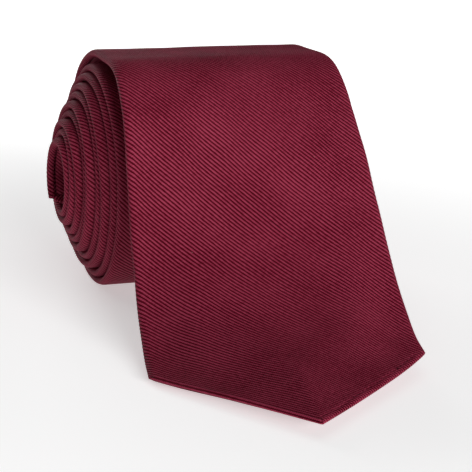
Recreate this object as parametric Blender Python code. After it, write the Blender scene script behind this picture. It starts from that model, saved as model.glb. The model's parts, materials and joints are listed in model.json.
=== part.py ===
"""A silk necktie rolled up from its narrow end, with the wide blade coming off the roll.

The tie is one long strip. Distances along it are measured from the blade's point.
From the point the strip runs back along the table, up a slope to the top of the roll
(the free part), and then winds inwards (the rolled part) to the tail in the core.
X lies along the roll's axis, the blade's point faces -Y, and +Z is up.
The strip's face is its outer side; depths are measured from the face inwards.
"""

import math

import bmesh
import bpy
import numpy as np

# Driving dimensions, in metres
BLADE_WIDTH = 0.075
FREE_LENGTH = 0.1586          # from the blade's point to the top of the roll
ROLL_RADIUS = 0.0355          # face of the first turn
TURN_PITCH = 0.00268          # from one turn's face to the next
TURNS = 9.8
FIRST_TURN_SLACK = 0.0017     # the first turn stands this much off the next at the top
SLACK_TURNS = 0.5             # and lies on it after this part of a turn
OUTER_OVAL = 0.96             # depth of the roll over its height, at the outside
CORE_OVAL = 0.87              # and at the core
LEFT_STEP = 0.0017            # each turn sticks out this much further to the left
LEFT_STEP_EASING = 0.0000375
START_X = -0.001

# Widths of the finished strip at distances along it: blade, neck and tail
WIDTH_STATIONS = [
    (0.0375, 0.0750), (0.1586, 0.0663), (0.300, 0.0570), (0.470, 0.0465), (0.650, 0.0380),
    (0.830, 0.0335), (0.960, 0.0335), (1.120, 0.0365), (1.300, 0.0415), (1.480, 0.0450),
]

# The free part seen from the side: slope below the horizontal, in degrees, at equal steps
# from the top of the roll to the point, and its gentle twist in radians per metre
SLOPES = [-0.7, -1.0, 34.0, 54.0, 63.0, 60.0, 48.5, 33.5, 13.3, -0.4, -1.5, -2.4]
TWIST_START = 0.25            # share of the free part, from the top, where the twist begins
TWISTS = [-5.56, -4.34, 1.81, 1.66, 0.80]

# Layers of the finished strip, as depths under the face
SILK = 0.0004
GAP = 0.0003
INTERLINING_TOP = SILK + GAP
INTERLINING_BOTTOM = INTERLINING_TOP + 0.0006
ROLLED_DEPTH = 0.0020         # face to back of the envelope
TIPPED_DEPTH = 0.0024         # the same where a tipping lies inside
TIPPING_TOP = INTERLINING_BOTTOM + GAP
TIPPING_BOTTOM = TIPPING_TOP + 0.00015

# The back of the envelope
SEAM_HALF_GAP = 0.00055       # the two flaps meet along the middle of the back
SEAM_START = 0.105            # the seam begins here, and the flaps part below it
HEM_WIDTH = 0.009
HEM_ACROSS = HEM_WIDTH * math.sqrt(2)
TAIL_SEAM_START = 0.050       # the same distances from the tail's point
TIPPING_END = 0.130
TAIL_TIPPING_END = 0.045
DEPTH_EASE = 0.012            # the envelope thins over this length past a tipping
FIRST_SECTION = 0.0012        # the point's first section
INSET = 0.0011                # interlining and tippings end this far inside the edges

# Where the pieces of silk join, and where the strip flexes
BLADE_NECK_SEAM = 0.852
NECK_TAIL_SEAM = 1.130
LIFT_LINE = FREE_LENGTH - 0.022
TIP_LINE = 0.0456
HALF_SPLIT = 0.0003
SEAM_THREAD = 0.0002          # half the width of a joining seam's thread

# Small sewn pieces
STITCH_HALF = 0.00022
KEEPER_FROM, KEEPER_TO = 0.188, 0.198
KEEPER_HALF_LENGTH = 0.021
KEEPER_TOP, KEEPER_BOTTOM = 0.0023, 0.0028
BAR_TACK_HALF = 0.004
BAR_TACK_LENGTH = 0.0014
BAR_TACK_THICKNESS = 0.0004
TAIL_TACK_OFFSET = 0.004      # the tail's bar tack lies this far before the end of its seam
STITCH_INSET = 0.001          # the slip stitches begin this far inside the seam
LABEL_FROM, LABEL_TO = 0.0295, 0.0405
LABEL_HALF = 0.012
LABEL_GAP = 0.0002
LABEL_THICKNESS = 0.00012

# How finely the shapes are made
STEPS_PER_TURN = 24
FREE_STEP = 0.0025
SHORTEST_STEP = 0.0005
LAST_TURN_MARGIN = 0.01       # no section lies within this part of a turn of the roll's ends
NEAR_TURN = 1e-4              # a turn's direction is read over this much of it
WIDE_PARTS = 4                # the free part's long sides are made in this many parts
FINE_STEPS = 240              # steps used to work out the free part's shape
SHARP_ANGLE = math.radians(40)

COLOURS = {
    "silk": ((0.140, 0.012, 0.036, 1), 0.55),
    "wool": ((0.72, 0.68, 0.58, 1), 0.95),
    "lining": ((0.120, 0.010, 0.030, 1), 0.40),
    "thread": ((0.110, 0.008, 0.028, 1), 0.60),
    "label": ((0.05, 0.04, 0.045, 1), 0.50),
}


def smooth_step(x):
    x = min(max(x, 0.0), 1.0)
    return x * x * (3 - 2 * x)


def through(stations, x):
    """A smooth curve through (place, value) stations, flat beyond the first and last."""
    places = [p for p, _ in stations]
    values = [v for _, v in stations]
    if x <= places[0]:
        return values[0]
    if x >= places[-1]:
        return values[-1]
    slopes = np.gradient(values, places)
    i = max(k for k, p in enumerate(places) if p <= x)
    span = places[i + 1] - places[i]
    t = (x - places[i]) / span
    return (
        values[i] * (1 + 2 * t) * (1 - t) ** 2
        + slopes[i] * span * t * (1 - t) ** 2
        + values[i + 1] * t * t * (3 - 2 * t)
        - slopes[i + 1] * span * t * t * (1 - t)
    )


def roll_point(turn):
    """A point on the face, by the number of turns wound in from the top."""
    slack = FIRST_TURN_SLACK * (1 - smooth_step(turn / SLACK_TURNS))
    radius = ROLL_RADIUS - TURN_PITCH * turn + slack
    oval = OUTER_OVAL + (CORE_OVAL - OUTER_OVAL) * turn / TURNS
    angle = 2 * math.pi * turn
    centre_z = ROLL_RADIUS - TURN_PITCH / 2
    return np.array([0.0, oval * radius * math.sin(angle), centre_z + radius * math.cos(angle)])


def ring_turns():
    """Where the roll's sections lie, so that the facet under the roll is level."""
    level = 0.5 - TURN_PITCH / (ROLL_RADIUS * (2 * math.pi) ** 2)
    first = level % (1 / STEPS_PER_TURN) - 0.5 / STEPS_PER_TURN
    count = int((TURNS - first) * STEPS_PER_TURN)
    rings = [first + i / STEPS_PER_TURN for i in range(count + 1)]
    inner = [turn for turn in rings if LAST_TURN_MARGIN < turn < TURNS - LAST_TURN_MARGIN]
    return [0.0] + inner + [TURNS]


def rolled_distances():
    """The distance along the strip at each section of the roll."""
    points = [roll_point(turn) for turn in RINGS]
    steps = [np.linalg.norm(b - a) for a, b in zip(points, points[1:])]
    return FREE_LENGTH + np.concatenate([[0.0], np.cumsum(steps)])


RINGS = ring_turns()
ROLLED = rolled_distances()
LENGTH = float(ROLLED[-1])
TAIL_CORNER = LENGTH - through(WIDTH_STATIONS, LENGTH) / 2


def half_width(along):
    """Half the finished strip's width, with a right-angled point at each end."""
    whole = through(WIDTH_STATIONS, along) / 2
    return min(whole, along, LENGTH - along)


def free_frames():
    """Middle point, cross direction and outward direction along the free part, from its top."""
    step = FREE_LENGTH / FINE_STEPS
    share = np.linspace(0, 1, FINE_STEPS + 1)
    knots = list(zip(np.linspace(0, 1, len(SLOPES)), np.radians(SLOPES)))
    slopes = [through(knots, s) for s in share]
    twists = np.interp(share, np.linspace(TWIST_START, 1, len(TWISTS)), TWISTS, left=0.0)
    place = np.array([START_X, 0.0, roll_point(0)[2]])
    forward = np.array([0.0, -math.cos(slopes[0]), -math.sin(slopes[0])])
    across = np.array([1.0, 0.0, 0.0])
    frames = [(place, across, np.cross(forward, across))]
    for i in range(FINE_STEPS):
        bend = slopes[i + 1] - slopes[i]
        turned = forward * math.cos(bend) + np.cross(across, forward) * math.sin(bend)
        roll = twists[i] * step
        across = across * math.cos(roll) + np.cross(across, turned) * math.sin(roll)
        place = place + (forward + turned) / 2 * step
        forward = turned
        frames.append((place, across, np.cross(forward, across)))
    return frames


FREE = free_frames()


def rolled_frame(turn, along):
    """The same three for a point of the roll."""
    tangent = roll_point(turn + NEAR_TURN) - roll_point(turn - NEAR_TURN)
    tangent /= np.linalg.norm(tangent)
    across = np.array([1.0, 0.0, 0.0])
    left = START_X - half_width(FREE_LENGTH) - LEFT_STEP * turn + LEFT_STEP_EASING * turn * turn
    whole = through(WIDTH_STATIONS, along) / 2
    place = roll_point(turn) + across * (left + whole)
    return place, across, np.cross(across, tangent)


def frame_at(along):
    """Middle point, cross direction and outward direction at any distance along the strip."""
    if along <= FREE_LENGTH:
        position = (1 - along / FREE_LENGTH) * FINE_STEPS
        i = min(int(position), FINE_STEPS - 1)
        t = position - i
        blended = [(1 - t) * a + t * b for a, b in zip(FREE[i], FREE[i + 1])]
        return blended[0], blended[1] / np.linalg.norm(blended[1]), blended[2]
    return rolled_frame(float(np.interp(along, ROLLED, RINGS)), along)


def stations(start, end):
    """Distances from start to end: even steps where free, the roll's own steps where wound."""
    inner = [s for s in ROLLED if start + SHORTEST_STEP < s < end - SHORTEST_STEP]
    reach = min(end, FREE_LENGTH)
    count = max(1, math.ceil((reach - start) / FREE_STEP))
    loose = [start + (reach - start) * i / count for i in range(count)] if reach > start else [start]
    corner = BLADE_WIDTH / 2
    if start < corner < end:
        loose.append(corner)
    if start < TAIL_CORNER < end:
        inner.append(TAIL_CORNER)
    return sorted(set(loose + inner + [end]))


def envelope_depth(along):
    """Face to back, thicker where a tipping lies inside."""
    from_end = min(along, LENGTH - along)
    tipping_end = TIPPING_END if along < LENGTH / 2 else TAIL_TIPPING_END
    share = smooth_step((from_end - tipping_end) / DEPTH_EASE)
    return TIPPED_DEPTH + (ROLLED_DEPTH - TIPPED_DEPTH) * share


def flap_gap(along):
    """Half the opening between the two back flaps."""
    from_end = min(along, LENGTH - along)
    seam = SEAM_START if along < LENGTH / 2 else TAIL_SEAM_START
    corner = BLADE_WIDTH / 2 if along < LENGTH / 2 else LENGTH - TAIL_CORNER
    if from_end >= seam:
        return SEAM_HALF_GAP
    open_gap = corner - HEM_ACROSS
    if from_end <= corner:
        return max(GAP, from_end - HEM_ACROSS)
    return SEAM_HALF_GAP + (open_gap - SEAM_HALF_GAP) * (seam - from_end) / (seam - corner)


def envelope_section(along):
    """The folded silk across the strip: face, two folded edges and two back flaps."""
    w = half_width(along)
    depth = envelope_depth(along)
    gap = flap_gap(along)
    inner = w - SILK
    return [
        (-w, 0), (w, 0), (w, -depth), (gap, -depth), (gap, SILK - depth), (inner, SILK - depth),
        (inner, -SILK), (-inner, -SILK), (-inner, SILK - depth), (-gap, SILK - depth),
        (-gap, -depth), (-w, -depth),
    ]


def band_section(top, bottom, inset=INSET):
    """A flat band inside the envelope, from one depth to another."""
    def section(along):
        w = half_width(along) - inset
        return [(-w, -top), (w, -top), (w, -bottom), (-w, -bottom)]
    return section


def strip_section(half, top, bottom):
    """A flat band of fixed width."""
    def section(along):
        return [(-half, -top), (half, -top), (half, -bottom), (-half, -bottom)]
    return section


def stitch_section(along):
    """The slip-stitch thread, a three-sided strand in the gap between the flaps."""
    depth = envelope_depth(along)
    return [(0, SILK / 2 - depth), (STITCH_HALF, -depth), (-STITCH_HALF, -depth)]


def widened(section):
    """The same section with its long sides, which are the even ones, in several parts."""
    def divided(along):
        points = section(along)
        made = []
        for i, (u, n) in enumerate(points):
            next_u, next_n = points[(i + 1) % len(points)]
            parts = WIDE_PARTS if i % 2 == 0 else 1
            shares = [k / parts for k in range(parts)]
            made += [(u + (next_u - u) * k, n + (next_n - n) * k) for k in shares]
        return made
    return divided


def loft(places, section):
    """A closed solid through the sections at these distances along the strip.

    The strip twists, so its faces aren't flat. All are split along the same diagonal,
    from the left of one section to the right of the next, which keeps the layers apart.
    """
    mesh = bmesh.new()
    rings = []
    for along in places:
        place, across, outward = frame_at(along)
        rings.append([mesh.verts.new(place + u * across + n * outward) for u, n in section(along)])
    sides = [u for u, _ in section(places[-1])]
    for ring, following in zip(rings, rings[1:]):
        for i in range(len(ring)):
            j = (i + 1) % len(ring)
            if sides[i] <= sides[j]:
                mesh.faces.new((ring[i], ring[j], following[j]))
                mesh.faces.new((ring[i], following[j], following[i]))
            else:
                mesh.faces.new((ring[i], ring[j], following[i]))
                mesh.faces.new((ring[j], following[j], following[i]))
    mesh.faces.new(rings[0][::-1])
    mesh.faces.new(rings[-1])
    bmesh.ops.recalc_face_normals(mesh, faces=mesh.faces)
    return mesh


def material(name):
    """One Principled material for a node, in the colour of what it is made of."""
    colour, roughness = COLOURS[name]
    made = bpy.data.materials.new(name)
    made.use_nodes = True
    shader = made.node_tree.nodes["Principled BSDF"]
    shader.inputs["Base Color"].default_value = colour
    shader.inputs["Roughness"].default_value = roughness
    shader.inputs["Metallic"].default_value = 0.0
    return made


def layout():
    """Every node: its name, body, material, distances along the strip and section."""
    tip = (0.0, TIP_LINE - HALF_SPLIT)
    free = (TIP_LINE + HALF_SPLIT, LIFT_LINE - HALF_SPLIT)
    rolled = (LIFT_LINE + HALF_SPLIT, LENGTH)
    clear = SEAM_THREAD + GAP
    wool = band_section(INTERLINING_TOP, INTERLINING_BOTTOM)
    tipping = band_section(TIPPING_TOP, TIPPING_BOTTOM)
    seam = band_section(0.0, SILK, 0.0)
    keeper = strip_section(KEEPER_HALF_LENGTH, KEEPER_TOP, KEEPER_BOTTOM)
    tack_top = TIPPED_DEPTH + GAP
    tack = strip_section(BAR_TACK_HALF, tack_top, tack_top + BAR_TACK_THICKNESS)
    label_top = TIPPING_BOTTOM + LABEL_GAP
    label = strip_section(LABEL_HALF, label_top, label_top + LABEL_THICKNESS)
    tail_tack = LENGTH - TAIL_SEAM_START - TAIL_TACK_OFFSET
    inner = 3 * INSET
    return [
        ("blade_silk_tip", "tip", "silk", (FIRST_SECTION, tip[1]), envelope_section),
        ("blade_silk_free", "blade", "silk", free, envelope_section),
        ("blade_silk_rolled", "roll", "silk", (rolled[0], BLADE_NECK_SEAM - clear), envelope_section),
        ("neck_silk", "roll", "silk", (BLADE_NECK_SEAM + clear, NECK_TAIL_SEAM - clear), envelope_section),
        ("tail_silk", "roll", "silk", (NECK_TAIL_SEAM + clear, LENGTH - FIRST_SECTION), envelope_section),
        ("interlining_tip", "tip", "wool", (inner, tip[1]), wool),
        ("interlining_free", "blade", "wool", free, wool),
        ("interlining_rolled", "roll", "wool", (rolled[0], LENGTH - inner), wool),
        ("blade_tipping_tip", "tip", "lining", (inner, tip[1]), tipping),
        ("blade_tipping_free", "blade", "lining", (free[0], TIPPING_END), tipping),
        ("tail_tipping", "roll", "lining", (LENGTH - TAIL_TIPPING_END, LENGTH - inner), tipping),
        ("slip_stitch_free", "blade", "thread", (SEAM_START + STITCH_INSET, free[1]), stitch_section),
        ("slip_stitch_rolled", "roll", "thread",
         (rolled[0], LENGTH - TAIL_SEAM_START - STITCH_INSET), stitch_section),
        ("blade_neck_seam", "roll", "thread",
         (BLADE_NECK_SEAM - SEAM_THREAD, BLADE_NECK_SEAM + SEAM_THREAD), seam),
        ("neck_tail_seam", "roll", "thread",
         (NECK_TAIL_SEAM - SEAM_THREAD, NECK_TAIL_SEAM + SEAM_THREAD), seam),
        ("blade_bar_tack", "blade", "thread", (SEAM_START, SEAM_START + BAR_TACK_LENGTH), tack),
        ("tail_bar_tack", "roll", "thread", (tail_tack, tail_tack + BAR_TACK_LENGTH), tack),
        ("keeper_loop", "roll", "silk", (KEEPER_FROM, KEEPER_TO), keeper),
        ("blank_label", "tip", "label", (LABEL_FROM, LABEL_TO), label),
    ]


def build():
    for thing in list(bpy.data.objects):
        bpy.data.objects.remove(thing)
    collection = bpy.data.collections.new("necktie")
    bpy.context.scene.collection.children.link(collection)

    meshes = {}
    for name, body, _, (start, end), section in layout():
        section = section if body == "roll" else widened(section)
        meshes[name] = loft(stations(start, end), section)
    points = np.array([v.co for mesh in meshes.values() for v in mesh.verts])
    low, high = points.min(axis=0), points.max(axis=0)
    shift = np.array([-(low[0] + high[0]) / 2, -(low[1] + high[1]) / 2, -low[2]])

    pivots = {
        "roll": np.zeros(3),
        "blade": frame_at(LIFT_LINE)[0] + shift,
        "tip": frame_at(TIP_LINE)[0] + shift,
    }
    for name, body, kind, _, _ in layout():
        pivot = pivots[body]
        mesh = bpy.data.meshes.new(name)
        for vertex in meshes[name].verts:
            vertex.co = np.array(vertex.co) + shift - pivot
        meshes[name].to_mesh(mesh)
        meshes[name].free()
        mesh.shade_smooth()
        mesh.set_sharp_from_angle(angle=SHARP_ANGLE)
        mesh.materials.append(material(kind))
        thing = bpy.data.objects.new(name, mesh)
        thing.location = pivot
        collection.objects.link(thing)


build()
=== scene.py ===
import json
import math

import bpy
import numpy as np
from mathutils import Matrix, Vector


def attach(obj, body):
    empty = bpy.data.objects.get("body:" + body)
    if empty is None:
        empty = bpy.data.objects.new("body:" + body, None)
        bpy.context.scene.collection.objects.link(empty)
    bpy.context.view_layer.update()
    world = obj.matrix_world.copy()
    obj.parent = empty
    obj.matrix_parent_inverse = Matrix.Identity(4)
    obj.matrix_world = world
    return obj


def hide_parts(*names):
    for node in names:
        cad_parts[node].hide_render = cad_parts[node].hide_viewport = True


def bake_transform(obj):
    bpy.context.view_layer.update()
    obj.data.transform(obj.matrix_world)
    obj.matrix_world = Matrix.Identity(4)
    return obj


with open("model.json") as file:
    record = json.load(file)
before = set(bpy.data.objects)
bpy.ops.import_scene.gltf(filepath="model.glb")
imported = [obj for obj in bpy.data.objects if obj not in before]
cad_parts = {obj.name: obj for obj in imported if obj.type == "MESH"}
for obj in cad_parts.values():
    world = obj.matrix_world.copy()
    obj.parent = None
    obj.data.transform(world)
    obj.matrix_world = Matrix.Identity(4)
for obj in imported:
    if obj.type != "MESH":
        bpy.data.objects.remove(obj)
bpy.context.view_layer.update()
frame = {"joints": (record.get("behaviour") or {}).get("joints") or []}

# The tie is one long strip. Distances along it ("along") are measured from the blade's point,
# "cloth" is the distance across the flat cloth from the middle of the strip, and depths are
# measured from the face inwards. The path below is the CAD model's own.

BLADE_WIDTH = 0.075
FREE_LENGTH = 0.1586
ROLL_RADIUS = 0.0355
TURN_PITCH = 0.00268
TURNS = 9.8
FIRST_TURN_SLACK = 0.0017
OUTER_OVAL = 0.96
CORE_OVAL = 0.87
LEFT_STEP = 0.0017
LEFT_STEP_EASING = 0.0000375
START_X = -0.001
WIDTH_STATIONS = [
    (0.0375, 0.0750), (0.1586, 0.0663), (0.300, 0.0570), (0.470, 0.0465), (0.650, 0.0380),
    (0.830, 0.0335), (0.960, 0.0335), (1.120, 0.0365), (1.300, 0.0415), (1.480, 0.0450),
]
SLOPES = [-0.7, -1.0, 34.0, 54.0, 63.0, 60.0, 48.5, 33.5, 13.3, -0.4, -1.5, -2.4]
TWIST_START = 0.25
TWISTS = [-5.56, -4.34, 1.81, 1.66, 0.80]
CORNER = BLADE_WIDTH / 2

SILK = 0.0004
GAP = 0.0003
INTERLINING_TOP = SILK + GAP
INTERLINING_BOTTOM = INTERLINING_TOP + 0.0006
ROLLED_DEPTH = 0.0020
TIPPED_DEPTH = 0.0024
TIPPING_TOP = INTERLINING_BOTTOM + GAP
TIPPING_BOTTOM = TIPPING_TOP + 0.00015
SEAM_HALF_GAP = 0.00035
SEAM_START = 0.105
HEM_WIDTH = 0.009
TIPPING_END = 0.130
TAIL_SEAM_START = 0.050
TAIL_TIPPING_END = 0.045
DEPTH_EASE = 0.012
INSET = 0.0011
BLADE_NECK_SEAM = 0.852
NECK_TAIL_SEAM = 1.130
LIFT_LINE = FREE_LENGTH - 0.022
KEEPER_FROM, KEEPER_TO = 0.188, 0.198
KEEPER_HALF_LENGTH = 0.021
KEEPER_TOP, KEEPER_BOTTOM = 0.0023, 0.0028
LABEL_FROM, LABEL_TO = 0.0295, 0.0405
LABEL_HALF = 0.012
LABEL_GAP = 0.0001
LABEL_THICKNESS = 0.00018

# The ribs of the silk run across the strip and towards the point on the right
RIB_PITCH = 0.00094
RIB_SLANT = 1.02
RIB_STEP = RIB_PITCH * math.sqrt(1 + RIB_SLANT ** 2)
RIB_HEIGHT = 0.00024
RIB_SHAPE = 0.62
RIB_WOBBLE = 0.00022
RIB_UNEVENNESS = 0.18
RIB_WAVE_SPREAD = 0.03
FLAP_RIB_SHARE = 0.6
FLAP_SEARCH = 2.1
FOLD_RIB_LOSS = 0.5

# The turns of the roll press against each other at its front and back and stand apart at the
# top and bottom. PRESSED_FROM and PRESSED_WHOLLY are turns wound in from the top.
FOLD_REACH = 0.0018
PRESSED_OUTER, PRESSED_CORE = 0.00270, 0.00228
PRESSED_FROM, PRESSED_WHOLLY = 0.4, 0.6

# The folded edges wander a little on the free blade and more on the roll, where the wander
# has a steady part that comes and goes from turn to turn. The linings draw in from it.
FREE_WANDER = 0.00010
ROLL_WANDER = 0.00080
ROLL_WANDER_FROM = 0.19
ROLL_WANDER_EASE = 0.06
STEADY_SHARE, CHANCE_SHARE = 0.65, 0.45
UNEVEN_TURNS = 0.43
UNEVEN_PHASE = 1.0
ROLL_LIFT = 0.00016
PRESSED_LIFT_LOSS = 0.8
WANDER_NEAR_EDGE = 0.75
ROLL_LINING_INSET = 0.0012
ROLL_LINING_FROM = 0.17

# The free blade's face swells gently, and the swells end a little way into the roll
SWELL = 0.00035
SWELL_END, SWELL_END_EASE = 0.03, 0.05
SWELL_EDGE_EASE = 0.012

# Each kind of wandering adds up a few waves, from its own seed and at its own wavelength
WAVES_ADDED = 5
RIB_WAVES = (3, 0.016)
SWELL_WAVES = (5, 0.055)
FREE_EDGE_WAVES = (11, 0.021)
RIB_HEIGHT_WAVES = (17, 0.012)
LIFT_WAVES = (31, 0.017)
ROLL_EDGE_WAVES = (51, 0.075)

# The silk turned under at the points: the panel's edge laps over it, and it turns on this
# reach. The point is pressed thin along its hems, and its face is a little crowned inside them.
HEM_LAP = 0.0014
HEM_TURN = 0.0010
HEM_LAP_DROP = 0.00003
HEM_START = 0.0001
HEM_THICKNESS = 0.0010
HEM_THIN_REACH = 0.006
HEM_LINING_INSET = 0.007
SHOULDER_CUT = 0.0002
CROWN = 0.0034
CROWN_REACH = 0.024
CROWN_SIDE_REACH = 0.015
CROWN_END = 0.095

# Where the cloth is cut into pieces, and how far the panels' rows run past the strip's ends
# before they are cut to them
FRONT_CUT = round(0.0906 / RIB_STEP) * RIB_STEP
ROLL_CUT = round(0.1815 / RIB_STEP) * RIB_STEP
COVERED_CUT = round(0.425 / RIB_STEP) * RIB_STEP
LINING_CUT = 0.150
PAST_POINT = 0.003
PAST_TAIL = 0.002
SEAM_HALF_CUT = 0.00015

# The thread of the seams and of the stitches on the back
SEAM_RADIUS = 0.00013
SEAM_SUNK = 0.00010
SEAM_SEARCH = 0.06
STITCH_PITCH = 0.0075
STITCH_OVERLAP = 0.12
STITCH_HALF_WIDTH = 0.0007
STITCH_SUNK = 0.00022
STITCH_PROUD = 0.00008
STITCH_RADIUS = 0.00014
STITCH_END_GAP = 0.002
TACK_STITCHES = 26
TACK_HALF_WIDTH = 0.004
TACK_PLACE = 0.0007
TACK_HALF_LENGTH = 0.0008
TACK_HEIGHT = 0.00045
TACK_SUNK = 0.0001
TACK_LEAN = 0.00006
TACK_RADIUS = 0.00015
TAIL_TACK_SHIFT = 0.004

# How finely the shapes are worked out: steps along the path, and the spacing of the tables
# that find where a rib crosses a line of the cloth
FREE_STEPS = 800
STEPS_PER_TURN = 960
TABLE_STEP = 0.0002
TABLE_MARGIN = 0.01
TINY = 1e-9

LENS_MM = 122.03
CAMERA_YAW, CAMERA_PITCH, CAMERA_ROLL = 19.93, 17.594, 2.38
CAMERA_DISTANCE = 0.47365
CAMERA_TARGET = (0.00102, -0.03023, 0.02117)


def smooth(x):
    """Rises from 0 to 1 without a corner as x does, and stays there."""
    x = np.clip(x, 0.0, 1.0)
    return x * x * (3 - 2 * x)


def through(stations, x):
    """A smooth curve through (place, value) stations, flat beyond the first and last."""
    places = np.array([p for p, _ in stations])
    values = np.array([v for _, v in stations])
    slopes = np.gradient(values, places)
    x = np.clip(x, places[0], places[-1])
    i = np.clip(np.searchsorted(places, x, side="right") - 1, 0, len(places) - 2)
    span = places[i + 1] - places[i]
    t = (x - places[i]) / span
    return (
        values[i] * (1 + 2 * t) * (1 - t) ** 2
        + slopes[i] * span * t * (1 - t) ** 2
        + values[i + 1] * t * t * (3 - 2 * t)
        - slopes[i + 1] * span * t * t * (1 - t)
    )


# The path ---------------------------------------------------------------------------------

def roll_points(turn):
    """Points on the face, by the number of turns wound in from the top."""
    turn = np.asarray(turn, float)
    slack = FIRST_TURN_SLACK * (1 - smooth(turn / 0.5))
    radius = ROLL_RADIUS - TURN_PITCH * turn + slack
    oval = OUTER_OVAL + (CORE_OVAL - OUTER_OVAL) * turn / TURNS
    angle = 2 * math.pi * turn
    centre_z = ROLL_RADIUS - TURN_PITCH / 2
    return np.stack([0 * turn, oval * radius * np.sin(angle), centre_z + radius * np.cos(angle)], -1)


ROLL_STEPS = np.linspace(0, TURNS, round(STEPS_PER_TURN * TURNS) + 1)
ROLL_PLACES = roll_points(ROLL_STEPS)
ROLL_DISTANCES = FREE_LENGTH + np.concatenate(
    [[0.0], np.cumsum(np.linalg.norm(np.diff(ROLL_PLACES, axis=0), axis=1))]
)
LENGTH = float(ROLL_DISTANCES[-1])


def free_frames():
    """Place, cross direction and outward direction along the free part, from its top."""
    step = FREE_LENGTH / FREE_STEPS
    share = np.linspace(0, 1, FREE_STEPS + 1)
    knots = list(zip(np.linspace(0, 1, len(SLOPES)), np.radians(SLOPES)))
    slopes = through(knots, share)
    twists = np.interp(share, np.linspace(TWIST_START, 1, len(TWISTS)), TWISTS, left=0.0)
    place = np.array([START_X, 0.0, roll_points(0)[2]])
    forward = np.array([0.0, -math.cos(slopes[0]), -math.sin(slopes[0])])
    across = np.array([1.0, 0.0, 0.0])
    places, crosses, outs = [place], [across], [np.cross(forward, across)]
    for i in range(FREE_STEPS):
        bend = slopes[i + 1] - slopes[i]
        turned = forward * math.cos(bend) + np.cross(across, forward) * math.sin(bend)
        twist = twists[i] * step
        across = across * math.cos(twist) + np.cross(across, turned) * math.sin(twist)
        place = place + (forward + turned) / 2 * step
        forward = turned
        places.append(place)
        crosses.append(across)
        outs.append(np.cross(forward, across))
    return FREE_LENGTH * (1 - share), np.array(places), np.array(crosses), np.array(outs)


def half_whole(along):
    """Half the strip's width, leaving its points out."""
    return through(WIDTH_STATIONS, along) / 2


def path_table():
    """Distances along the strip with the place, cross and outward directions at each."""
    along, places, crosses, outs = [x[::-1] for x in free_frames()]
    turn = ROLL_STEPS[1:]
    distances = ROLL_DISTANCES[1:]
    near = 1e-4
    tangent = roll_points(turn + near) - roll_points(turn - near)
    tangent /= np.linalg.norm(tangent, axis=1)[:, None]
    left = START_X - half_whole(FREE_LENGTH) - LEFT_STEP * turn + LEFT_STEP_EASING * turn ** 2
    rolled = ROLL_PLACES[1:].copy()
    rolled[:, 0] += left + half_whole(distances)
    across = np.tile([1.0, 0.0, 0.0], (len(turn), 1))
    return (
        np.concatenate([along, distances]),
        np.vstack([places, rolled]),
        np.vstack([crosses, across]),
        np.vstack([outs, np.cross(across, tangent)]),
    )


PATH = path_table()


def read_path(values, along):
    """One of the path's columns of vectors, at distances along the strip."""
    return np.stack([np.interp(along, PATH[0], values[:, k]) for k in range(3)], -1)


LIFT = next(j for j in frame["joints"] if j["name"] == "blade_lift")
SHIFT = np.array(LIFT["pos_m"]) - read_path(PATH[1], np.array(LIFT_LINE))


def put(along, across, out):
    """Points in the row frame from distance along, distance across and height off the face."""
    place = read_path(PATH[1], along) + SHIFT
    cross = read_path(PATH[2], along)
    outward = read_path(PATH[3], along)
    return place + across[..., None] * cross + out[..., None] * outward


# The folded silk across the strip -----------------------------------------------------------

def pressing(along):
    """How far the turns touch: 1 at the roll's front and back, 0 at its top and bottom."""
    turn = np.interp(along, ROLL_DISTANCES, ROLL_STEPS)
    begun = smooth((turn - PRESSED_FROM) / (PRESSED_WHOLLY - PRESSED_FROM))
    return begun * np.sin(2 * math.pi * turn) ** 2


def depth(along):
    """Face to back: thicker where a tipping lies inside, and as thick as the turns leave room for."""
    from_end = np.minimum(along, LENGTH - along)
    tipping_end = np.where(along < LENGTH / 2, TIPPING_END, TAIL_TIPPING_END)
    share = smooth((from_end - tipping_end) / DEPTH_EASE)
    loose = TIPPED_DEPTH + (ROLLED_DEPTH - TIPPED_DEPTH) * share
    turn = np.interp(along, ROLL_DISTANCES, ROLL_STEPS)
    pressed = PRESSED_OUTER + (PRESSED_CORE - PRESSED_OUTER) * turn / TURNS
    return loose + (pressed - loose) * pressing(along)


def flap_gap(along):
    """Half the opening between the two back flaps."""
    from_end = np.minimum(along, LENGTH - along)
    first = along < LENGTH / 2
    seam = np.where(first, SEAM_START, TAIL_SEAM_START)
    corner = np.where(first, CORNER, half_whole(LENGTH))
    open_gap = corner - HEM_WIDTH * math.sqrt(2)
    share = smooth((seam - from_end) / (seam - corner)) ** 0.9
    return SEAM_HALF_GAP + (open_gap - SEAM_HALF_GAP) * share


def waves(along, cloth, seed, size):
    """Smooth wandering between about -1 and 1, the same each run. size is its wavelength."""
    chance = np.random.default_rng(seed)
    total = 0
    for _ in range(WAVES_ADDED):
        heading = chance.uniform(0, math.pi)
        wavelength = size * chance.uniform(0.7, 1.6)
        phase = chance.uniform(0, 2 * math.pi)
        travel = along * math.cos(heading) + cloth * math.sin(heading)
        total = total + np.sin(2 * math.pi * travel / wavelength + phase)
    return total / 3


def column(kind, side, share, along):
    """One line along the cloth: across, height, cloth distance, and the way its face looks."""
    radius = depth(along) / 2
    flat = half_whole(along) - FOLD_REACH
    around = (radius + FOLD_REACH) / 2
    if kind == "face":
        across = share * flat
        return across, 0 * along, across, (0.0, 1.0)
    if kind == "fold":
        angle = math.pi * share
        sideways, upwards = math.sin(angle) * radius, math.cos(angle) * FOLD_REACH
        size = np.hypot(sideways, upwards)
        across = side * (flat + FOLD_REACH * math.sin(angle))
        look = (side * sideways / size, upwards / size)
        return across, -radius * (1 - math.cos(angle)), side * (flat + around * angle), look
    run = flat - flap_gap(along)
    cloth = side * (flat + math.pi * around + share * run)
    return side * (flat - share * run), -2 * radius, cloth, (0.0, -1.0)


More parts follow.
